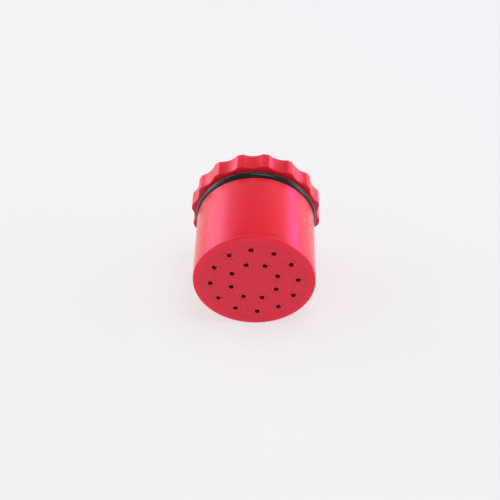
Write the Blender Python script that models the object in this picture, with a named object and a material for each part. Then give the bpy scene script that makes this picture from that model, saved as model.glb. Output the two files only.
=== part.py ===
"""Desiccant plug: a vented canister of drying beads, closed by a scalloped screw cap on a rubber ring.

Every piece is modelled upright about its local Z axis, with the vented face at z = 0 and the cap on top.
The empty named plug lays them all on their side, so that local +Z becomes world +Y.
"""

import math

import bmesh
import bpy
from mathutils import Euler, Matrix, Vector

# Canister, in metres
BARREL_DIAMETER = 0.0506        # a slip fit in a two-inch drawtube
BARREL_LENGTH = 0.0363          # vented face to rim
BARREL_WALL = 0.0024
FLOOR_THICKNESS = 0.0012
FOOT_FLARE = 0.00005            # the first printed layers spread this far beyond the barrel
FOOT_CHAMFER = 0.0006
FOOT_HEIGHT = 0.0012            # vented face to the plain barrel
RIM_CHAMFER = 0.0003
MOUTH_CHAMFER = 0.0006

# Vents, square holes in two rows
VENT_SIDE = 0.0019
OUTER_VENT_COUNT = 12
INNER_VENT_COUNT = 8
VENT_MARGIN = 0.0048            # outer row's centres in from the bore
VENT_ROW_SPACING = 0.008
VENT_TURN = math.radians(-1.5)

# Screw thread between the cap's spigot and the canister's mouth, right-handed
THREAD_PITCH = 0.004
THREAD_DEPTH = 0.001
THREAD_CREST = 0.0008
THREAD_FLANK = math.radians(30)
THREAD_CLEARANCE = 0.00035
THREAD_FADE = math.radians(50)  # the ridge grows from nothing over this angle at each end
THREAD_END_MARGIN = 0.0002

# Screw cap
SPIGOT_REACH = 0.008            # into the canister, and the lift that frees the cap
SPIGOT_WALL = 0.00225
KNOB_OVERHANG = 0.00275         # lobes stand this far outside the barrel
KNOB_HEIGHT = 0.0081
KNOB_CHAMFER = 0.0003
SCOOP_COUNT = 16
SCOOP_WIDTH = 0.0084
SCOOP_DEPTH = 0.00134

# Rubber ring
RING_SECTION = 0.00355
RING_PROUD = 0.00075            # the ring stands this far outside the barrel
RING_PLAY = 0.000325            # to the rim on one side and to the knob on the other
SEAT_GAP = 0.0001

# Desiccant charge
BEAD_DIAMETER = 0.005
BEAD_GAP = 0.0004
CHARGE_GAP = 0.0004             # between the charge and the walls around it

# Facets
TURN_STEPS = 64
RING_STEPS = 14
SCOOP_STEPS = 6
LOBE_STEPS = 2
BEAD_SUBDIVISIONS = 2
SHARP_ANGLE = math.radians(30)  # edges that bend more than this stay crisp
OVERLAP = 0.0004                # how far joined or cutting shapes run into each other
LEAST_RIDGE = 0.00002           # height of a thread's ridge at its very ends, inside its base
MERGE_DISTANCE = 0.0000001

# Sizes that follow from the ones above
barrel_radius = BARREL_DIAMETER / 2
foot_radius = barrel_radius + FOOT_FLARE
bore_radius = barrel_radius - BARREL_WALL
core_radius = bore_radius - THREAD_CLEARANCE
crest_radius = core_radius + THREAD_DEPTH
groove_radius = crest_radius + THREAD_CLEARANCE
groove_crest = THREAD_CREST + 2 * THREAD_CLEARANCE * (1 - math.sin(THREAD_FLANK)) / math.cos(THREAD_FLANK)
root_width = THREAD_CREST + 2 * THREAD_DEPTH * math.tan(THREAD_FLANK)

ring_outer_radius = barrel_radius + RING_PROUD
ring_centre_radius = ring_outer_radius - RING_SECTION / 2
collar_radius = ring_outer_radius - RING_SECTION - SEAT_GAP
collar_bottom = BARREL_LENGTH + SEAT_GAP
ring_height = BARREL_LENGTH + RING_PLAY + RING_SECTION / 2

knob_bottom = BARREL_LENGTH + RING_SECTION + 2 * RING_PLAY
knob_top = knob_bottom + KNOB_HEIGHT
lobe_radius = barrel_radius + KNOB_OVERHANG
spigot_end = BARREL_LENGTH - SPIGOT_REACH
spigot_bore = core_radius - SPIGOT_WALL

thread_start = spigot_end + root_width / 2 + THREAD_END_MARGIN
thread_turns = (SPIGOT_REACH - root_width - 2 * THREAD_END_MARGIN) / THREAD_PITCH

bead_radius = BEAD_DIAMETER / 2
top_bead_height = knob_bottom - CHARGE_GAP - bead_radius
bed_top = top_bead_height - bead_radius - BEAD_GAP


def polar(radius, angle, height):
    return Vector((radius * math.cos(angle), radius * math.sin(angle), height))


def finish(name, colour, roughness):
    """A plain non-metallic material."""
    made = bpy.data.materials.new(name)
    made.use_nodes = True
    shader = made.node_tree.nodes["Principled BSDF"]
    shader.inputs["Base Color"].default_value = (*colour, 1)
    shader.inputs["Roughness"].default_value = roughness
    shader.inputs["Metallic"].default_value = 0
    return made


def mesh_from(bm, name):
    """Closes a bmesh into a mesh with its faces pointing out, smooth apart from its real edges."""
    bmesh.ops.recalc_face_normals(bm, faces=bm.faces)
    mesh = bpy.data.meshes.new(name)
    bm.to_mesh(mesh)
    bm.free()
    mesh.shade_smooth()
    mesh.set_sharp_from_angle(angle=SHARP_ANGLE)
    return mesh


def place(name, mesh, material):
    """A finished piece of the plug, with its origin on the plug's axis."""
    piece = bpy.data.objects.new(name, mesh)
    piece.parent = plug
    mesh.materials.append(material)
    bpy.context.collection.objects.link(piece)
    return piece


def shape(piece, mesh, operation):
    """Adds a second shape to a piece, or cuts it away."""
    tool = bpy.data.objects.new(mesh.name, mesh)
    tool.parent = plug
    tool.hide_render = True
    tool.display_type = "WIRE"
    bpy.context.collection.objects.link(tool)
    step = piece.modifiers.new(mesh.name, "BOOLEAN")
    step.object = tool
    step.operation = operation
    step.solver = "EXACT"


def turned(name, profile, closed=False):
    """Turns (radius, height) points about Z. An open profile is capped flat at both of its ends."""
    bm = bmesh.new()
    points = [bm.verts.new((radius, 0, height)) for radius, height in profile]
    links = list(zip(points, points[1:]))
    if closed:
        links.append((points[-1], points[0]))
    edges = [bm.edges.new(link) for link in links]
    bmesh.ops.spin(bm, geom=points + edges, cent=(0, 0, 0), axis=(0, 0, 1), angle=math.tau, steps=TURN_STEPS)
    bmesh.ops.remove_doubles(bm, verts=bm.verts, dist=MERGE_DISTANCE)
    if not closed:
        rims = [edge for edge in bm.edges if edge.is_boundary]
        bmesh.ops.holes_fill(bm, edges=rims, sides=0)
    return mesh_from(bm, name)


def stacked(name, loops):
    """Skins equal loops of points, one after the other, and closes the two ends."""
    bm = bmesh.new()
    rows = [[bm.verts.new(point) for point in loop] for loop in loops]
    for low, high in zip(rows, rows[1:]):
        for i in range(len(low)):
            bm.faces.new((low[i - 1], low[i], high[i], high[i - 1]))
    bm.faces.new(rows[0])
    bm.faces.new(rows[-1])
    return mesh_from(bm, name)


def thread(name, base, crest, crest_width, first_angle, last_angle, fade):
    """A helical ridge with a trapezoid section, which sinks into its base over the fade angle."""
    steps = math.ceil((last_angle - first_angle) / math.tau * TURN_STEPS)
    half_crest = crest_width / 2
    half_base = half_crest + (crest - base) * math.tan(THREAD_FLANK)
    half_step = math.pi / TURN_STEPS
    loops = []
    for i in range(steps + 1):
        angle = first_angle + (last_angle - first_angle) * i / steps
        growth = 1
        if fade > 0:
            growth = min(1, (angle - first_angle) / fade, (last_angle - angle) / fade)
        top = base + max(LEAST_RIDGE, (crest - base) * growth)
        height = thread_start + THREAD_PITCH * angle / math.tau
        loops.append([
            polar(base, angle + half_step, height - half_base),
            polar(top, angle + half_step, height - half_crest),
            polar(top, angle + half_step, height + half_crest),
            polar(base, angle + half_step, height + half_base),
        ])
    return stacked(name, loops)


def vent_holes():
    """Square cutters through the floor, each turned to face the axis."""
    bm = bmesh.new()
    outer_row = bore_radius - VENT_MARGIN
    inner_row = outer_row - VENT_ROW_SPACING
    half_turn = math.pi / OUTER_VENT_COUNT
    size = Matrix.Diagonal((VENT_SIDE, VENT_SIDE, FLOOR_THICKNESS + 2 * OVERLAP, 1))
    rows = (
        (outer_row, OUTER_VENT_COUNT, VENT_TURN),
        (inner_row, INNER_VENT_COUNT, VENT_TURN - half_turn),
    )
    for radius, count, turn in rows:
        for i in range(count):
            angle = turn + math.tau * i / count
            spot = Matrix.Translation(polar(radius, angle, FLOOR_THICKNESS / 2))
            bmesh.ops.create_cube(bm, size=1, matrix=spot @ Matrix.Rotation(angle, 4, "Z") @ size)
    return mesh_from(bm, "vent_cutter")


def make_canister(material):
    profile = [
        (foot_radius - FOOT_CHAMFER, 0),
        (foot_radius, FOOT_CHAMFER),
        (barrel_radius, FOOT_HEIGHT),
        (barrel_radius, BARREL_LENGTH - RIM_CHAMFER),
        (barrel_radius - RIM_CHAMFER, BARREL_LENGTH),
        (bore_radius + MOUTH_CHAMFER, BARREL_LENGTH),
        (bore_radius, BARREL_LENGTH - MOUTH_CHAMFER),
        (bore_radius, FLOOR_THICKNESS),
    ]
    canister = place("canister", turned("canister", profile), material)
    shape(canister, vent_holes(), "DIFFERENCE")
    way_out = math.tau * (thread_turns + SPIGOT_REACH / THREAD_PITCH)
    groove = thread("groove_cutter", bore_radius - OVERLAP, groove_radius, groove_crest,
                    -THREAD_FADE, way_out, 0)
    shape(canister, groove, "DIFFERENCE")


def knob_outline(inset, height):
    """Lobes on one circle, with a round finger scoop between each pair."""
    half_width = math.asin(SCOOP_WIDTH / 2 / lobe_radius)
    sagitta = SCOOP_DEPTH - lobe_radius * (1 - math.cos(half_width))
    scoop_radius = ((SCOOP_WIDTH / 2) ** 2 + sagitta ** 2) / (2 * sagitta)
    scoop_centre = lobe_radius - SCOOP_DEPTH + scoop_radius
    scoop_sweep = math.asin(SCOOP_WIDTH / 2 / scoop_radius)
    pitch = math.tau / SCOOP_COUNT
    points = []
    for i in range(SCOOP_COUNT):
        for j in range(SCOOP_STEPS):
            bend = scoop_sweep * (2 * j / SCOOP_STEPS - 1)
            spot = Vector((scoop_centre - scoop_radius * math.cos(bend), scoop_radius * math.sin(bend)))
            angle = math.atan2(spot.y, spot.x)
            points.append(polar(spot.length - inset, pitch * i + angle, height))
        for j in range(LOBE_STEPS):
            angle = half_width + (pitch - 2 * half_width) * j / LOBE_STEPS
            points.append(polar(lobe_radius - inset, pitch * i + angle, height))
    return points


def make_screw_cap(material):
    knob = stacked("screw_cap", [
        knob_outline(KNOB_CHAMFER, knob_bottom),
        knob_outline(0, knob_bottom + KNOB_CHAMFER),
        knob_outline(0, knob_top - KNOB_CHAMFER),
        knob_outline(KNOB_CHAMFER, knob_top),
    ])
    cap = place("screw_cap", knob, material)
    spigot = turned("spigot", [
        (spigot_bore, knob_bottom),
        (spigot_bore, spigot_end),
        (core_radius, spigot_end),
        (core_radius, collar_bottom),
        (collar_radius, collar_bottom),
        (collar_radius, knob_bottom + OVERLAP),
        (spigot_bore, knob_bottom + OVERLAP),
    ], closed=True)
    shape(cap, spigot, "UNION")
    ridge = thread("spigot_thread", core_radius - OVERLAP, crest_radius, THREAD_CREST,
                   0, math.tau * thread_turns, THREAD_FADE)
    shape(cap, ridge, "UNION")


def make_ring(material):
    section = []
    for i in range(RING_STEPS):
        angle = -math.tau * i / RING_STEPS
        section.append((ring_centre_radius + RING_SECTION / 2 * math.cos(angle),
                        ring_height + RING_SECTION / 2 * math.sin(angle)))
    place("o_ring", turned("o_ring", section, closed=True), material)


def make_charge(material):
    """The bed of beads, and the top layer of single beads under the cap."""
    bed_radius = bore_radius - CHARGE_GAP
    neck_radius = spigot_bore - CHARGE_GAP
    shoulder = spigot_end - CHARGE_GAP
    bed = turned("bead_bed", [
        (bed_radius, FLOOR_THICKNESS + CHARGE_GAP),
        (bed_radius, shoulder),
        (neck_radius, shoulder),
        (neck_radius, bed_top),
    ])
    place("bead_bed", bed, material)

    bm = bmesh.new()
    bmesh.ops.create_icosphere(bm, subdivisions=BEAD_SUBDIVISIONS, radius=bead_radius)
    bead = mesh_from(bm, "bead")
    bead.materials.append(material)
    step = BEAD_DIAMETER + BEAD_GAP
    rise = step * math.sqrt(3) / 2
    reach = neck_radius - bead_radius
    rows = math.floor(reach / rise)
    columns = math.ceil(reach / step)
    number = 0
    for row in range(-rows, rows + 1):
        for column in range(-columns, columns + 1):
            spot = Vector((step * (column + row % 2 / 2), rise * row, top_bead_height))
            if spot.xy.length > reach:
                continue
            number += 1
            single = bpy.data.objects.new(f"bead_{number:02d}", bead)
            single.parent = plug
            single.location = spot
            bpy.context.collection.objects.link(single)


for old in list(bpy.data.objects):
    bpy.data.objects.remove(old)

plug = bpy.data.objects.new("plug", None)
plug.rotation_euler = Euler((math.radians(-90), 0, 0))
bpy.context.collection.objects.link(plug)

red_plastic = finish("red printed plastic", (0.70, 0.035, 0.05), 0.42)
black_rubber = finish("black rubber", (0.012, 0.012, 0.014), 0.5)
orange_gel = finish("orange drying gel", (0.57, 0.033, 0.005), 0.3)

make_canister(red_plastic)
make_screw_cap(red_plastic)
make_ring(black_rubber)
make_charge(orange_gel)
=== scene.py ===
"""Looks of a desiccant plug: a printed canister with a vented face, a scalloped screw cap, a ring and beads.

Pieces are modelled upright about Z, as they are printed and moulded, and then laid along the plug's +Y axis.
All sizes are in metres.
"""

import math
import random

import bmesh
import bpy
from mathutils import Matrix, Vector


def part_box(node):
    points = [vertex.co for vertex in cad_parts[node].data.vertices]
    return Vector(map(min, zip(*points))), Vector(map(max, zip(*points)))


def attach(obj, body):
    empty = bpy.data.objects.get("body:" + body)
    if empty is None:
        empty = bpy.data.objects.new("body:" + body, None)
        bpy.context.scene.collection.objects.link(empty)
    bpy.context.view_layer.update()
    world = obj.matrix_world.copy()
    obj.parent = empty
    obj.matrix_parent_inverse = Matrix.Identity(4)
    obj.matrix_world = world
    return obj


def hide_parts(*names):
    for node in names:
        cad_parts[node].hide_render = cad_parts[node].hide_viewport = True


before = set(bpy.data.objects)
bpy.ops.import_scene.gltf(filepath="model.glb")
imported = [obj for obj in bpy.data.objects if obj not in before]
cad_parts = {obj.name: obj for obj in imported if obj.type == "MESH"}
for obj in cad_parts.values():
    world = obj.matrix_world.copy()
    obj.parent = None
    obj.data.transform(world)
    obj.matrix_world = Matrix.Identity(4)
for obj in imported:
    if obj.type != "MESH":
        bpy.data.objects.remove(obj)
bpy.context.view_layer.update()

# Places read from the frame, along the plug's axis
canister_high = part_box("canister")[1]
cap_low, cap_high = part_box("screw_cap")
ring_low, ring_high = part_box("o_ring")
bed_low, bed_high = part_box("bead_bed")
bead_nodes = sorted(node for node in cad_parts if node.startswith("bead_") and node != "bead_bed")
bead_low, bead_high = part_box(bead_nodes[0])

# Canister
BARREL_RADIUS = 0.0253
BARREL_WALL = 0.0024
FLOOR_THICKNESS = 0.0012
FOOT_ROUND = 0.0006             # the foot's edge is rounded over this far each way
FOOT_HEIGHT = 0.0013            # first layers, spread by the press against the print bed
FOOT_LIP = 0.0014
WAIST_DEPTH = 0.00008           # the wall shrinks a little just above the foot
WAIST_HEIGHT = 0.0017
WAIST_REACH = 0.0014
RIM_ROUND = 0.0005
MOUTH_CHAMFER = 0.0006
EDGE_EASE = 0.00012             # printed edges are never quite sharp

# Vents
VENT_SIDE = 0.0019
VENT_CORNER = 0.00028
VENT_FLARE = 0.0002
OUTER_VENT_COUNT = 12
INNER_VENT_COUNT = 8
OUTER_VENT_ROW = 0.0181
INNER_VENT_ROW = 0.0101
VENT_TURN = math.radians(-1.5)
INNER_VENT_TURN = VENT_TURN - math.pi / OUTER_VENT_COUNT
VENT_ROWS = (
    (OUTER_VENT_ROW, OUTER_VENT_COUNT, VENT_TURN),
    (INNER_VENT_ROW, INNER_VENT_COUNT, INNER_VENT_TURN),
)

# Screw thread
THREAD_PITCH = 0.004
THREAD_DEPTH = 0.001
THREAD_CREST = 0.0008
THREAD_FLANK = math.radians(30)
THREAD_CLEARANCE = 0.00035
THREAD_FADE = math.radians(50)
THREAD_END_MARGIN = 0.0002

# Screw cap
SPIGOT_WALL = 0.00225
COLLAR_GAP = 0.0001
KNOB_OVERHANG = 0.00275
KNOB_HEIGHT = 0.0081
KNOB_EASE = 0.00032
SCOOP_COUNT = 16
SCOOP_WIDTH = 0.0084
SCOOP_DEPTH = 0.00134
LOBE_EASE = 0.00035

# Rubber ring
RING_SECTION = 0.00355
PARTING_LINE = 0.00003          # a thin line of flash where the two halves of the mould met

# Beads
BEAD_PITCH = 0.00542
BED_LAYERS = 7
BEAD_SHRINK = 0.06
BEAD_SHIFT = 0.00012
BEAD_SEED = 7

# Fineness
TURN_STEPS = 192
RING_STEPS = 32
SCOOP_STEPS = 14
LOBE_STEPS = 5
EASE_STEPS = 4
TABLE_STEPS = 96
SEEN_BEAD = 3                   # subdivisions of a bead that can be seen
HIDDEN_BEAD = 2
SHARP_ANGLE = math.radians(34)
OVERLAP = 0.0004
LEAST_RIDGE = 0.00002

# Printed plastic
LAYER_HEIGHT = 0.0002
LINE_WIDTH = 0.00045
LINE_HEIGHT = 0.000012
EDGE_LOOPS = 3
VENT_LOOPS = 2
SEAM_WIDTH = 0.000354           # where each layer starts and ends
CANISTER_SEAM = math.radians(118)
CAP_SEAM = math.radians(-101.25)
FLAT_FACING = 0.75              # a surface that faces along the axis this much is a flat end
BAND_HEIGHT = 0.0009            # layers drift a little in tone over this height
HAZE_SIZE = 0.006
MOTTLE_SIZE = 0.0013
GRAIN_SIZE = 0.0005
PINHOLE_SIZE = 0.0007
PINHOLE_REACH = 0.8 * LINE_WIDTH
RING_SHADE_REACH = 0.003             # painted shade: the wall is drawn darker beside the ring, under the cap's overhang, fading over this far
LOW_REACH = 0.005               # the wall is drawn darker towards the foot, fading out at this height
RIM_HIGHLIGHT_REACH = 0.0028              # painted highlight along the face's rounded edge: a lighter red, fading over this far
CAP_PAINTED_SHADE = 0.07                # the cap's red is drawn a shade deeper than the canister's: painted shade, for less light on it
RED = (0.85, 0.021, 0.020, 1)
DEEP_RED = (0.26, 0.003, 0.004, 1)
PALE_RED = (0.86, 0.050, 0.050, 1)
# lighter red of the painted highlight along the face's edge
RIM_HIGHLIGHT_RED = (1.0, 0.022, 0.020, 1)
RED_GLOSS = (1, 0.32, 0.95, 1)

# Rubber
BLOOM_SIZE = 0.004
PORE_SIZE = 0.00025
PORE_DEPTH = 0.00002
DUST_SIZE = 0.0011
BLACK = (0.002, 0.002, 0.002, 1)
BLOOM_BLACK = (0.007, 0.006, 0.007, 1)
DUST_GREY = (0.30, 0.28, 0.28, 1)
# pink tint of the rubber's bloom, a painted reflection of the red cap
PINK_BLOOM_REFLECTION = (1, 0.45, 0.55, 1)

# Drying gel
CLOUDY_SIZE = 0.0016
DIMPLE_DEPTH = 0.00003
FLAWS_PER_METRE = 700
FLAW_WIDTH = 0.03
DEEP_ORANGE = (0.50, 0.022, 0.003, 1)
LIGHT_ORANGE = (0.70, 0.050, 0.006, 1)
CLOUDY_ORANGE = (0.55, 0.045, 0.008, 1)
FLAW_ORANGE = (0.42, 0.16, 0.04, 1)

barrel_length = canister_high.y
foot_radius = canister_high.x
bore_radius = BARREL_RADIUS - BARREL_WALL
core_radius = bore_radius - THREAD_CLEARANCE
crest_radius = core_radius + THREAD_DEPTH
groove_radius = crest_radius + THREAD_CLEARANCE
groove_crest = THREAD_CREST + 2 * THREAD_CLEARANCE * (1 - math.sin(THREAD_FLANK)) / math.cos(THREAD_FLANK)
root_width = THREAD_CREST + 2 * THREAD_DEPTH * math.tan(THREAD_FLANK)
spigot_end = cap_low.y
spigot_bore = core_radius - SPIGOT_WALL
spigot_reach = barrel_length - spigot_end
thread_start = spigot_end + root_width / 2 + THREAD_END_MARGIN
thread_turns = (spigot_reach - root_width - 2 * THREAD_END_MARGIN) / THREAD_PITCH

knob_top = cap_high.y
knob_bottom = knob_top - KNOB_HEIGHT
lobe_radius = BARREL_RADIUS + KNOB_OVERHANG
ring_centre_radius = ring_high.x - RING_SECTION / 2
ring_height = (ring_low.y + ring_high.y) / 2
collar_radius = ring_centre_radius - RING_SECTION / 2 - COLLAR_GAP
collar_bottom = barrel_length + COLLAR_GAP

# A finger scoop is a round cut, wider than it is deep
scoop_half_angle = math.asin(SCOOP_WIDTH / 2 / lobe_radius)
scoop_sagitta = SCOOP_DEPTH - lobe_radius * (1 - math.cos(scoop_half_angle))
scoop_radius = ((SCOOP_WIDTH / 2) ** 2 + scoop_sagitta ** 2) / (2 * scoop_sagitta)
scoop_centre = lobe_radius - SCOOP_DEPTH + scoop_radius
scoop_sweep = math.asin(SCOOP_WIDTH / 2 / scoop_radius)
scoop_pitch = math.tau / SCOOP_COUNT

bead_radius = (bead_high.y - bead_low.y) / 2

# Upright +Z becomes the plug's +Y
lay_down = Matrix.Rotation(math.radians(-90), 4, "X")


class Value:
    """A number that changes over a surface. Python's operators on it add Math nodes."""

    def __init__(self, finish, socket):
        self.finish = finish
        self.socket = socket

    def __add__(self, other):
        return self.finish.math("ADD", self, other)

    __radd__ = __add__

    def __sub__(self, other):
        return self.finish.math("SUBTRACT", self, other)

    def __rsub__(self, other):
        return self.finish.math("SUBTRACT", other, self)

    def __mul__(self, other):
        return self.finish.math("MULTIPLY", self, other)

    __rmul__ = __mul__

    def __truediv__(self, other):
        return self.finish.math("DIVIDE", self, other)

    def __pow__(self, other):
        return self.finish.math("POWER", self, other)

    def __abs__(self):
        return self.finish.math("ABSOLUTE", self)

    def __lt__(self, other):
        return self.finish.math("LESS_THAN", self, other)

    def __gt__(self, other):
        return self.finish.math("GREATER_THAN", self, other)


class Finish:
    """A node tree in the making, of a material or of the world."""

    def __init__(self, tree):
        self.tree = tree

    def node(self, kind, settings=None, sockets=None, output=0):
        made = self.tree.nodes.new("ShaderNode" + kind)
        for name, value in (settings or {}).items():
            if name == "stops":
                self.set_stops(made.color_ramp.elements, value)
            else:
                setattr(made, name, value)
        for name, value in (sockets or {}).items():
            self.feed(made.inputs[name], value)
        return Value(self, made.outputs[output])

    def set_stops(self, elements, stops):
        while len(elements) < len(stops):
            elements.new(1)
        for element, (position, colour) in zip(elements, stops):
            element.position = position
            element.color = colour

    def feed(self, socket, value):
        if isinstance(value, Value):
            self.tree.links.new(value.socket, socket)
        else:
            socket.default_value = value

    def math(self, operation, *values):
        return self.node("Math", {"operation": operation}, dict(enumerate(values)))

    def blend(self, amount, first, second):
        """The first colour where the amount is 0, and the second where it is 1."""
        return self.node("Mix", {"data_type": "RGBA"}, {0: amount, 6: first, 7: second}, output=2)

    def split(self, vector):
        made = self.node("SeparateXYZ", None, {0: vector}).socket.node
        return [Value(self, socket) for socket in made.outputs]

    def cloud(self, spot, size, detail=3):
        """Soft noise from 0 to 1, with patches about as large as the size."""
        return self.node("TexNoise", None, {"Vector": spot, "Scale": 1 / size, "Detail": detail})

    def each(self, distance, width):
        """A random number from 0 to 1 for each strip of this width."""
        strip = self.math("FLOOR", distance / width)
        return self.node("TexWhiteNoise", {"noise_dimensions": "1D"}, {"W": strip})


def new_material(name, constants):
    """A material whose shader has these values all over."""
    material = bpy.data.materials.new(name)
    material.use_nodes = True
    shader = material.node_tree.nodes["Principled BSDF"]
    for socket, value in constants.items():
        shader.inputs[socket].default_value = value
    return material, Finish(material.node_tree), shader


def crown(distance, width):
    """Lines of laid plastic side by side: 1 along the crown of each and 0 in the grooves between."""
    phase = distance.finish.math("FRACT", distance / width)
    across = 2 * phase - 1
    return 1 - across * across


def fading(distance, reach):
    """1 where the distance is 0, and less and less until the reach."""
    return distance.finish.math("MAXIMUM", 1 - distance / reach, 0)


def choose(first, second, mask):
    return first + (second - first) * mask


def folded(angle, pitch, turn):
    """The angle to the nearest of the places that repeat every pitch."""
    away = angle - turn
    return away - pitch * away.finish.math("ROUND", away / pitch)


def gap_to_vents(look, radius, angle):
    """How far a point of the floor lies outside the nearest vent's edge."""
    gaps = []
    for row, count, turn in VENT_ROWS:
        away = folded(angle, math.tau / count, turn)
        outward = abs(radius * look.math("COSINE", away) - row)
        sideways = abs(radius * look.math("SINE", away))
        gaps.append(look.math("MAXIMUM", outward, sideways) - VENT_SIDE / 2)
    return look.math("MINIMUM", *gaps)


def gap_to_foot(look, radius, angle):
    return foot_radius - radius


def gap_to_knob_edge(look, radius, angle):
    """How far a point of the knob's flat face lies inside its scalloped outline."""
    away = folded(angle, scoop_pitch, 0)
    outward = radius * look.math("COSINE", away) - scoop_centre
    sideways = radius * look.math("SINE", away)
    to_scoop = (outward * outward + sideways * sideways) ** 0.5 - scoop_radius
    return look.math("MINIMUM", lobe_radius - radius, to_scoop)


def printed_plastic(name, gap_to_edge, vented, seam_angle, shade):
    """Red filament: layer lines round the walls, and a first layer of slanted lines inside edge loops."""
    material, look, shader = new_material(name, {"IOR": 1.55, "Specular Tint": RED_GLOSS})
    spot = look.node("TexCoord", output="Object")
    x, y, z = look.split(spot)
    facing = look.split(look.node("TexCoord", output="Normal"))[1]
    radius = (x * x + z * z) ** 0.5
    angle = look.math("ARCTAN2", 0 - z, x)
    flat = abs(facing) > FLAT_FACING
    upright = 1 - flat

    # Walls
    layer_tone = look.each(y, LAYER_HEIGHT)
    bands = look.node("TexNoise", {"noise_dimensions": "1D"}, {"W": y, "Scale": 1 / BAND_HEIGHT, "Detail": 2})
    coarse = look.math("MAXIMUM", bands - 0.55, 0) * upright
    off_seam = radius * folded(angle, math.tau, seam_angle) / SEAM_WIDTH
    seam = look.math("EXPONENT", 0 - off_seam * off_seam) * (0.4 + 0.6 * layer_tone)
    wall = crown(y, LAYER_HEIGHT) + 0.8 * seam
    wall_tone = 0.5 * layer_tone + 2.2 * (bands - 0.35)

    # Flat ends
    slant = (x + z) * math.sqrt(0.5)
    line_tone = look.each(slant, LINE_WIDTH)
    edge = gap_to_edge(look, radius, angle)
    bed = choose(crown(slant, LINE_WIDTH), crown(edge, LINE_WIDTH), edge < EDGE_LOOPS * LINE_WIDTH)

    # Marks that only the canister has: painted shade and painted highlights, and a darker foot
    # shade deepens the cap's red: painted shade for less light on the cap
    deeper = shade
    vent_highlight = 0
    rim_highlight = 0
    if vented:
        vent = gap_to_vents(look, radius, angle)
        bed = choose(bed, crown(vent, LINE_WIDTH), vent < VENT_LOOPS * LINE_WIDTH)
        round_vents = abs(vent - (VENT_LOOPS + 0.3) * LINE_WIDTH) < PINHOLE_REACH
        # each pinhole is drawn only as a dark dot of painted shade, with no hole cut
        pinhole_shade = round_vents * (look.cloud(spot, PINHOLE_SIZE, 1) > 0.58) * flat
        # painted shade on the vents' walls, inside the holes
        vent_wall_shade = vent < VENT_FLARE / 3
        # painted highlight on the loop laid round each vent
        vent_loop_highlight = (vent < LINE_WIDTH) * flat
        # painted shade on the wall beside the ring, where the ring and cap overhang it
        ring_shade = fading(barrel_length - y, RING_SHADE_REACH) * upright
        # the wall is drawn darker towards the foot
        low = fading(y, LOW_REACH) * upright
        deeper = shade + 0.75 * pinhole_shade + 0.3 * vent_wall_shade + 0.35 * ring_shade + 0.22 * low
        vent_highlight = 0.8 * vent_loop_highlight
        # painted highlight along the face's rounded edge, where light catches it
        rim_highlight = 0.95 * fading(edge, RIM_HIGHLIGHT_REACH) * (y < FOOT_HEIGHT) * (0.2 + 0.8 * flat)

    haze = look.cloud(spot, HAZE_SIZE)
    mottle = look.cloud(spot, MOTTLE_SIZE, 2)
    grain = look.cloud(spot, GRAIN_SIZE, 2)
    ribs = choose(wall, 0.7 * bed, flat)
    tone = choose(wall_tone, line_tone, flat)
    # the groove term 0.10 * (1 - ribs) is painted shade between laid lines; tone, haze and mottle are random
    # tone
    depth = deeper + 0.10 * (1 - ribs) + 0.10 * tone + 0.16 * (haze - 0.5) + 0.35 * (mottle - 0.5) * flat
    # lighter in random patches, plus the painted highlight round the vents
    pale_tone_and_highlight = vent_highlight + 0.20 * (haze - 0.35) + 0.12 * grain
    colour = look.blend(look.math("MAXIMUM", depth, 0), RED, DEEP_RED)
    colour = look.blend(look.math("MAXIMUM", pale_tone_and_highlight, 0), colour, PALE_RED)
    colour = look.blend(rim_highlight, colour, RIM_HIGHLIGHT_RED)
    look.feed(shader.inputs["Base Color"], colour)
    look.feed(shader.inputs["Roughness"], 0.11 + 0.06 * haze + 0.04 * tone + 0.45 * coarse)
    relief = ribs + 0.15 * grain
    bump = look.node("Bump", None, {"Strength": 1.0, "Distance": LINE_HEIGHT, "Height": relief})
    look.feed(shader.inputs["Normal"], bump)
    return material


def moulded_rubber():
    """Black rubber with a faint bloom, which shows at a slant, and the odd speck of dust. The bloom is tinted
    pink, a painted reflection of the red cap.
    """
    constants = {
        "IOR": 1.42,
        "Sheen Weight": 1.0,
        "Sheen Roughness": 0.3,
        "Sheen Tint": PINK_BLOOM_REFLECTION,
    }
    material, look, shader = new_material("black moulded rubber", constants)
    spot = look.node("TexCoord", output="Object")
    bloom = look.cloud(spot, BLOOM_SIZE)
    pores = look.cloud(spot, PORE_SIZE, 2)
    dust = look.cloud(spot, DUST_SIZE, 1) > 0.72
    colour = look.blend(0.5 * bloom, BLACK, BLOOM_BLACK)
    colour = look.blend(0.12 * dust, colour, DUST_GREY)
    look.feed(shader.inputs["Base Color"], colour)
    look.feed(shader.inputs["Roughness"], 0.24 + 0.06 * bloom + 0.10 * dust)
    bump = look.node("Bump", None, {"Strength": 0.6, "Distance": PORE_DEPTH, "Height": pores})
    look.feed(shader.inputs["Normal"], bump)
    return material


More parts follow.
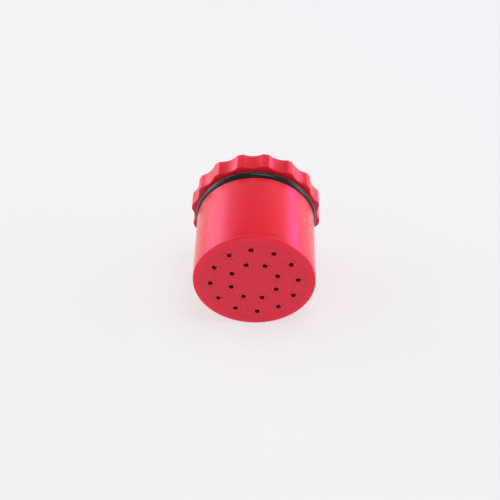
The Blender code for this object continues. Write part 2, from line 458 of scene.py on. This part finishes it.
def drying_gel():
    """Deep orange glassy beads, each a little lighter or darker, with fine cracks of trapped air."""
    material, look, shader = new_material("orange drying gel", {"IOR": 1.45, "Coat Roughness": 0.05})
    spot = look.node("TexCoord", output="Object")
    each_bead = look.node("NewGeometry", output="Random Per Island")
    cloudy = look.cloud(spot, CLOUDY_SIZE)
    cracks = look.node("TexVoronoi", {"feature": "DISTANCE_TO_EDGE"},
                       {"Vector": spot, "Scale": FLAWS_PER_METRE})
    flaws = cracks < FLAW_WIDTH
    colour = look.blend(each_bead, DEEP_ORANGE, LIGHT_ORANGE)
    colour = look.blend(0.35 * cloudy, colour, CLOUDY_ORANGE)
    colour = look.blend(0.25 * flaws, colour, FLAW_ORANGE)
    look.feed(shader.inputs["Base Color"], colour)
    look.feed(shader.inputs["Roughness"], 0.12 + 0.14 * cloudy + 0.15 * flaws)
    look.feed(shader.inputs["Coat Weight"], 0.1 + 0.2 * cloudy)
    bump = look.node("Bump", None, {"Strength": 0.5, "Distance": DIMPLE_DEPTH, "Height": cloudy})
    look.feed(shader.inputs["Normal"], bump)
    return material


def polar(radius, angle, height):
    return Vector((radius * math.cos(angle), radius * math.sin(angle), height))


def rounded(start, corner, end):
    """Points of the curve that rounds off a corner."""
    points = []
    for j in range(EASE_STEPS + 1):
        part = j / EASE_STEPS
        points.append(start * (1 - part) ** 2 + corner * 2 * part * (1 - part) + end * part ** 2)
    return points


def mesh_from(bm, name):
    bmesh.ops.recalc_face_normals(bm, faces=bm.faces)
    mesh = bpy.data.meshes.new(name)
    bm.to_mesh(mesh)
    bm.free()
    return mesh


def place(name, data):
    """A new object in the scene."""
    made = bpy.data.objects.new(name, data)
    bpy.context.collection.objects.link(made)
    return made


def combined(base, tools):
    """One closed mesh from a base mesh and (operation, mesh) pairs that are joined to it or cut from it."""
    body = place(base.name, base)
    helpers = [body]
    for operation, mesh in tools:
        tool = place(mesh.name, mesh)
        helpers.append(tool)
        step = body.modifiers.new(mesh.name, "BOOLEAN")
        step.object = tool
        step.operation = operation
        step.solver = "EXACT"
    graph = bpy.context.evaluated_depsgraph_get()
    made = bpy.data.meshes.new_from_object(body.evaluated_get(graph))
    for helper in helpers:
        bpy.data.objects.remove(helper)
    return made


def dress(name, mesh, material, body, nodes):
    """Lays a finished mesh down along the plug and lets it stand for its CAD nodes."""
    mesh.transform(lay_down)
    mesh.materials.clear()
    mesh.materials.append(material)
    mesh.shade_smooth()
    mesh.set_sharp_from_angle(angle=SHARP_ANGLE)
    piece = place(name, mesh)
    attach(piece, body)
    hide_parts(*nodes)


def eased(corners):
    """A profile from (radius, height, ease) corners, each rounded off over its ease on both sides."""
    points = []
    for i, (radius, height, ease) in enumerate(corners):
        corner = Vector((radius, height))
        if ease == 0:
            points.append(corner)
            continue
        before = Vector(corners[i - 1][:2]) - corner
        after = Vector(corners[(i + 1) % len(corners)][:2]) - corner
        start = corner + before.normalized() * ease
        end = corner + after.normalized() * ease
        points += rounded(start, corner, end)
    return points


def turned(name, profile, closed=False):
    """Turns (radius, height) points about Z. An open profile is capped flat at both of its ends."""
    bm = bmesh.new()
    rows = []
    for i in range(TURN_STEPS):
        angle = math.tau * i / TURN_STEPS
        rows.append([bm.verts.new(polar(radius, angle, height)) for radius, height in profile])
    count = len(profile)
    for i in range(TURN_STEPS):
        here = rows[i - 1]
        there = rows[i]
        for j in range(count if closed else count - 1):
            k = (j + 1) % count
            bm.faces.new((here[j], there[j], there[k], here[k]))
    if not closed:
        bm.faces.new([row[0] for row in rows])
        bm.faces.new([row[-1] for row in rows])
    return mesh_from(bm, name)


def skin(bm, loops):
    """Skins equal loops of points, one after the other, and closes the two ends."""
    rows = [[bm.verts.new(point) for point in loop] for loop in loops]
    for low, high in zip(rows, rows[1:]):
        for i in range(len(low)):
            bm.faces.new((low[i - 1], low[i], high[i], high[i - 1]))
    bm.faces.new(rows[0])
    bm.faces.new(rows[-1])


def stacked(name, loops):
    bm = bmesh.new()
    skin(bm, loops)
    return mesh_from(bm, name)


def thread(name, base, crest, crest_width, first_angle, last_angle, fade):
    """A helical ridge with a trapezoid section, which sinks into its base over the fade angle."""
    steps = math.ceil((last_angle - first_angle) / math.tau * TURN_STEPS)
    half_crest = crest_width / 2
    half_base = half_crest + (crest - base) * math.tan(THREAD_FLANK)
    half_step = math.pi / TURN_STEPS
    loops = []
    for i in range(steps + 1):
        angle = first_angle + (last_angle - first_angle) * i / steps
        growth = 1
        if fade > 0:
            growth = min(1, (angle - first_angle) / fade, (last_angle - angle) / fade)
        top = base + max(LEAST_RIDGE, (crest - base) * growth)
        height = thread_start + THREAD_PITCH * angle / math.tau
        loops.append([
            polar(base, angle + half_step, height - half_base),
            polar(top, angle + half_step, height - half_crest),
            polar(top, angle + half_step, height + half_crest),
            polar(base, angle + half_step, height + half_base),
        ])
    return stacked(name, loops)


def vent_outline(side):
    """A square with rounded corners, about its own centre."""
    inner = side / 2 - VENT_CORNER
    points = []
    for quarter in range(4):
        diagonal = math.pi / 4 + quarter * math.pi / 2
        middle = Vector((math.copysign(inner, math.cos(diagonal)),
                         math.copysign(inner, math.sin(diagonal)), 0))
        for j in range(EASE_STEPS + 1):
            angle = math.pi / 2 * (quarter + j / EASE_STEPS)
            points.append(middle + polar(VENT_CORNER, angle, 0))
    return points


def vent_holes():
    """Cutters through the floor, each a little wider at the face."""
    bm = bmesh.new()
    steps = (
        (VENT_SIDE + 2 * VENT_FLARE + 2 * OVERLAP, -OVERLAP),
        (VENT_SIDE, VENT_FLARE),
        (VENT_SIDE, FLOOR_THICKNESS + OVERLAP),
    )
    for row, count, turn in VENT_ROWS:
        for i in range(count):
            angle = turn + math.tau * i / count
            spot = Matrix.Translation(polar(row, angle, 0)) @ Matrix.Rotation(angle, 4, "Z")
            loops = []
            for side, height in steps:
                lift = Vector((0, 0, height))
                loops.append([spot @ (point + lift) for point in vent_outline(side)])
            skin(bm, loops)
    return mesh_from(bm, "vent_cutters")


def make_canister():
    waist_radius = BARREL_RADIUS - WAIST_DEPTH
    profile = eased([
        (foot_radius - FOOT_LIP, 0, 0),
        (foot_radius, 0, FOOT_ROUND),
        (foot_radius, FOOT_HEIGHT, EDGE_EASE),
        (waist_radius, WAIST_HEIGHT, EDGE_EASE),
        (BARREL_RADIUS, WAIST_HEIGHT + WAIST_REACH, WAIST_REACH / 2),
        (BARREL_RADIUS, barrel_length, RIM_ROUND),
        (bore_radius + MOUTH_CHAMFER, barrel_length, EDGE_EASE),
        (bore_radius, barrel_length - MOUTH_CHAMFER, EDGE_EASE),
        (bore_radius, FLOOR_THICKNESS, 0),
    ])
    way_out = math.tau * (thread_turns + spigot_reach / THREAD_PITCH)
    groove = thread("groove_cutter", bore_radius - OVERLAP, groove_radius, groove_crest,
                    -THREAD_FADE, way_out, 0)
    mesh = combined(turned("canister_print", profile), [("DIFFERENCE", vent_holes()), ("DIFFERENCE", groove)])
    material = printed_plastic("red canister print", gap_to_foot, True, CANISTER_SEAM, 0)
    dress("canister_print", mesh, material, "canister", ["canister"])


def knob_outline(inset, height):
    """Lobes on one circle with a finger scoop between each pair, and the corners between them eased."""
    lobe_half = scoop_pitch / 2 - scoop_half_angle
    ease_bend = LOBE_EASE / scoop_radius
    ease_turn = LOBE_EASE / lobe_radius
    scoop_reach = scoop_sweep - ease_bend
    lobe_reach = lobe_half - ease_turn

    def in_scoop(bend):
        return Vector((scoop_centre - scoop_radius * math.cos(bend), scoop_radius * math.sin(bend), 0))

    def on_lobe(turn):
        return polar(lobe_radius, scoop_pitch / 2 + turn, 0)

    rise = rounded(in_scoop(scoop_reach), on_lobe(-lobe_half), on_lobe(-lobe_reach))[1:-1]
    to_middle = Matrix.Rotation(-scoop_pitch / 2, 3, "Z")
    mirror = to_middle.inverted() @ Matrix.Diagonal((1, -1, 1)) @ to_middle
    one = [in_scoop(scoop_reach * (2 * j / SCOOP_STEPS - 1)) for j in range(SCOOP_STEPS + 1)]
    one += rise
    one += [on_lobe(lobe_reach * (2 * j / LOBE_STEPS - 1)) for j in range(LOBE_STEPS + 1)]
    one += [mirror @ point for point in reversed(rise)]
    points = []
    for i in range(SCOOP_COUNT):
        for point in one:
            angle = math.atan2(point.y, point.x) + scoop_pitch * i
            points.append(polar(point.length - inset, angle, height))
    return points


def make_screw_cap():
    edge = []
    for j in range(EASE_STEPS + 1):
        bend = math.pi / 2 * j / EASE_STEPS
        edge.append((KNOB_EASE * (1 - math.sin(bend)), KNOB_EASE * (1 - math.cos(bend))))
    loops = [knob_outline(inset, knob_bottom + rise) for inset, rise in edge]
    loops += [knob_outline(inset, knob_top - rise) for inset, rise in reversed(edge)]
    knob = stacked("screw_cap_print", loops)
    spigot = turned("spigot", eased([
        (spigot_bore, knob_bottom, 0),
        (spigot_bore, spigot_end, EDGE_EASE),
        (core_radius, spigot_end, EDGE_EASE),
        (core_radius, collar_bottom, 0),
        (collar_radius, collar_bottom, EDGE_EASE),
        (collar_radius, knob_bottom + OVERLAP, 0),
        (spigot_bore, knob_bottom + OVERLAP, 0),
    ]), closed=True)
    ridge = thread("spigot_thread", core_radius - OVERLAP, crest_radius, THREAD_CREST,
                   0, math.tau * thread_turns, THREAD_FADE)
    mesh = combined(knob, [("UNION", spigot), ("UNION", ridge)])
    material = printed_plastic("red cap print", gap_to_knob_edge, False, CAP_SEAM, CAP_PAINTED_SHADE)
    dress("screw_cap_print", mesh, material, "cap", ["screw_cap"])


def make_ring():
    section = []
    for i in range(RING_STEPS):
        angle = -math.tau * i / RING_STEPS
        flash = PARTING_LINE if i % (RING_STEPS // 2) == 0 else 0
        reach = RING_SECTION / 2 - PARTING_LINE + flash
        section.append((ring_centre_radius + reach * math.cos(angle), ring_height + reach * math.sin(angle)))
    mesh = turned("moulded_ring", section, closed=True)
    dress("moulded_ring", mesh, moulded_rubber(), "seal", ["o_ring"])


def add_bead(bm, spot, subdivisions, draw):
    stretch = Matrix.Diagonal([1 - BEAD_SHRINK * draw.random() for _ in range(3)] + [1])
    roll = Matrix.Rotation(math.tau * draw.random(), 4, "X")
    spin = Matrix.Rotation(math.tau * draw.random(), 4, "Z")
    bmesh.ops.create_icosphere(bm, subdivisions=subdivisions, radius=bead_radius,
                               matrix=Matrix.Translation(spot) @ roll @ spin @ stretch)


def make_beads():
    """The loose beads under the cap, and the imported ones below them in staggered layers."""
    gel = drying_gel()
    draw = random.Random(BEAD_SEED)
    upright = lay_down.inverted()

    bm = bmesh.new()
    for node in bead_nodes:
        low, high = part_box(node)
        add_bead(bm, upright @ ((low + high) / 2), SEEN_BEAD, draw)
    dress("loose_beads", mesh_from(bm, "loose_beads"), gel, "canister", bead_nodes)

    bm = bmesh.new()
    lowest = bed_low.y + bead_radius
    highest = bed_high.y - bead_radius
    row_rise = BEAD_PITCH * math.sqrt(3) / 2
    half_rows = math.ceil(bore_radius / row_rise)
    half_columns = math.ceil(bore_radius / BEAD_PITCH)
    for layer in range(BED_LAYERS):
        height = lowest + (highest - lowest) * layer / (BED_LAYERS - 1)
        in_spigot = height + bead_radius > spigot_end
        reach = (spigot_bore if in_spigot else bore_radius) - bead_radius - OVERLAP
        subdivisions = SEEN_BEAD if layer == 0 else HIDDEN_BEAD
        stagger = layer % 2
        for row in range(-half_rows, half_rows + 1):
            for column in range(-half_columns, half_columns + 1):
                spot = Vector((BEAD_PITCH * (column + (row % 2) / 2 + stagger / 2),
                               row_rise * (row + stagger / 3), height))
                if spot.xy.length > reach:
                    continue
                shift = Vector([BEAD_SHIFT * (2 * draw.random() - 1) for _ in range(2)] + [0])
                add_bead(bm, spot + shift, subdivisions, draw)
    dress("packed_beads", mesh_from(bm, "packed_beads"), gel, "canister", ["bead_bed"])


# Camera, at the photo's angle
CAMERA_PLACE = (0.02046, -0.32139, 0.33590)
CAMERA_TURN = (45.36, 2.66, 1.17)
CAMERA_LENS = 81.48


def make_camera():
    camera = bpy.data.cameras.new("camera")
    camera.lens = CAMERA_LENS
    camera.sensor_width = 36
    camera.clip_start = 0.01
    camera.clip_end = 20
    stand = place("camera", camera)
    stand.location = CAMERA_PLACE
    stand.rotation_euler = [math.radians(turn) for turn in CAMERA_TURN]
    bpy.context.scene.camera = stand


# Stage
TABLE_REACH = 4.0
TABLE_CLEARANCE = 0.00005
TABLE_WHITE = (1.0, 0.995, 1.0, 1)
PAPER_WHITE = (0.765, 0.82, 0.80, 1)
SHADOW_SHARE = 0.40             # how much of the table's look is real light and shadow


def make_table():
    """A pale table, which the front foot and two lobes of the knob rest on."""
    lobe_corner = lobe_radius * math.cos(scoop_half_angle)
    drop = (lobe_corner - foot_radius) / knob_bottom
    bm = bmesh.new()
    bmesh.ops.create_circle(bm, cap_ends=True, segments=TABLE_STEPS, radius=TABLE_REACH)
    mesh = mesh_from(bm, "table")
    table = place("table", mesh)
    table.location = (0, 0, -foot_radius - TABLE_CLEARANCE)
    table.rotation_euler = (-math.atan(drop), 0, 0)

    material = bpy.data.materials.new("pale table")
    material.use_nodes = True
    look = Finish(material.node_tree)
    look.tree.nodes.remove(look.tree.nodes["Principled BSDF"])
    paper = look.node("BsdfDiffuse", None, {"Color": PAPER_WHITE})
    glow = look.node("Emission", None, {"Color": TABLE_WHITE, "Strength": 1.0})
    ray = look.node("LightPath").socket.node
    camera, glossy, through = [
        Value(look, ray.outputs[name]) for name in ("Is Camera Ray", "Is Glossy Ray", "Is Transmission Ray")
    ]
    shown = look.math("MAXIMUM", look.math("MAXIMUM", camera, glossy), through)
    surface = look.node("MixShader", None, {0: shown * (1 - SHADOW_SHARE), 1: paper, 2: glow})
    look.feed(look.tree.nodes["Material Output"].inputs["Surface"], surface)
    mesh.materials.append(material)


# Soft boxes: name, place, width, depth, power and colour
LAMP_AIM = Vector((0, 0.02, 0))
LAMPS = (
    ("top_box", (0.26, 0.04, 1.0), 0.66, 0.62, 3.7, (1, 1, 1)),
    ("right_window", (0.86, 0.48, 0.14), 1.0, 0.35, 3.3, (1, 0.26, 1.0)),
    ("left_window", (-0.86, 0.48, 0.26), 1.08, 0.58, 4.1, (1, 0.76, 1.0)),
    ("right_fill", (0.98, -0.10, 0.20), 0.5, 0.40, 2.9, (1, 1, 1)),
    ("left_fill", (-0.98, -0.10, 0.20), 0.9, 0.60, 2.9, (1, 1, 1)),
)

# The room is bright towards the horizon and dim overhead
ROOM_STOPS = (
    (0.0, (0.95, 0.95, 0.96, 1)),
    (0.30, (0.95, 0.95, 0.96, 1)),
    (0.46, (0.32, 0.32, 0.33, 1)),
    (1.0, (0.36, 0.36, 0.37, 1)),
)


def make_light():
    for name, spot, width, depth, power, colour in LAMPS:
        lamp = bpy.data.lights.new(name, "AREA")
        lamp.shape = "RECTANGLE"
        lamp.size = width
        lamp.size_y = depth
        lamp.energy = power
        lamp.color = colour
        stand = place(name, lamp)
        stand.location = spot
        stand.rotation_euler = (LAMP_AIM - Vector(spot)).to_track_quat("-Z", "Y").to_euler()

    world = bpy.data.worlds.new("studio")
    bpy.context.scene.world = world
    world.use_nodes = True
    look = Finish(world.node_tree)
    height = look.split(look.node("TexCoord", output="Generated"))[2]
    room = look.node("ValToRGB", {"stops": ROOM_STOPS}, {0: height})
    look.feed(look.tree.nodes["Background"].inputs["Color"], room)


bpy.context.scene.view_settings.view_transform = "Standard"
make_camera()
make_canister()
make_screw_cap()
make_ring()
make_beads()
make_table()
make_light()
